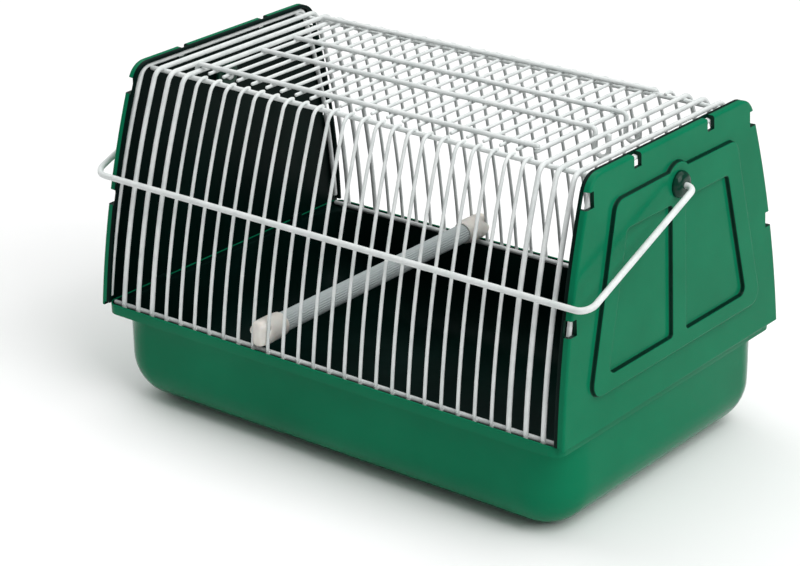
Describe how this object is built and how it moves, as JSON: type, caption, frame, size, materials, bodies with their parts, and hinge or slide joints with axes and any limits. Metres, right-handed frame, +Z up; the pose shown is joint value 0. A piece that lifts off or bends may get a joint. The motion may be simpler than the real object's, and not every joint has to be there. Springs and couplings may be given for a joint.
{
  "type": "small animal carrying cage",
  "caption": "Small carrying cage: open moulded tray, two moulded end panels, arched wire hood with a hinged roof hatch, a perch across it and a swinging wire bail handle.",
  "frame": {"origin": "centre of the flat underside of the tray, the face that stands on a table", "axes": "+X runs along the cage towards the hatch's hinge end, -Y is the front where the handle rests, +Z is up"},
  "size_m": [0.2224, 0.136, 0.1288],
  "materials": {
    "green_plastic": "glossy moulded, mid to dark green",
    "dark_plastic": "glossy, very dark green",
    "white_wire": "steel wire with a smooth white powder coat",
    "perch_plastic": "satin light grey, fluted along its length",
    "ivory_plastic": "satin ivory"
  },
  "bodies": {
    "tray": {"base_tray": "green_plastic", "tray_clips": "green_plastic"},
    "hood": {"left_end_panel": "green_plastic", "right_end_panel": "green_plastic", "left_pivot_bush": "dark_plastic", "right_pivot_bush": "dark_plastic", "left_end_wire": "white_wire", "right_end_wire": "white_wire", "left_roof_loops": "white_wire", "right_roof_loops": "white_wire", "front_wires": "white_wire", "back_wires": "white_wire", "front_bottom_rail": "white_wire", "back_bottom_rail": "white_wire", "front_top_rail": "white_wire", "back_top_rail": "white_wire", "perch_rod": "perch_plastic", "perch_front_cap": "ivory_plastic", "perch_back_cap": "ivory_plastic"},
    "handle": {"carry_handle": "white_wire"},
    "hatch": {"hatch_frame": "white_wire", "hatch_cross_wires": "white_wire", "hatch_front_mid_wire": "white_wire", "hatch_back_mid_wire": "white_wire"}
  },
  "joints": [
    {"name": "hood_lift", "type": "slide", "parent": "tray", "child": "hood", "axis": [0, 0, 1], "range_m": [0, 0.06]},
    {"name": "handle_swing", "type": "hinge", "parent": "hood", "child": "handle", "pos_m": [0, 0, 0.1112], "axis": [-1, 0, 0], "range_deg": [0, 222]},
    {"name": "hatch_hinge", "type": "hinge", "parent": "hood", "child": "hatch", "pos_m": [0.07881, 0, 0.12576], "axis": [0, 1, 0], "range_deg": [0, 140]}
  ]
}
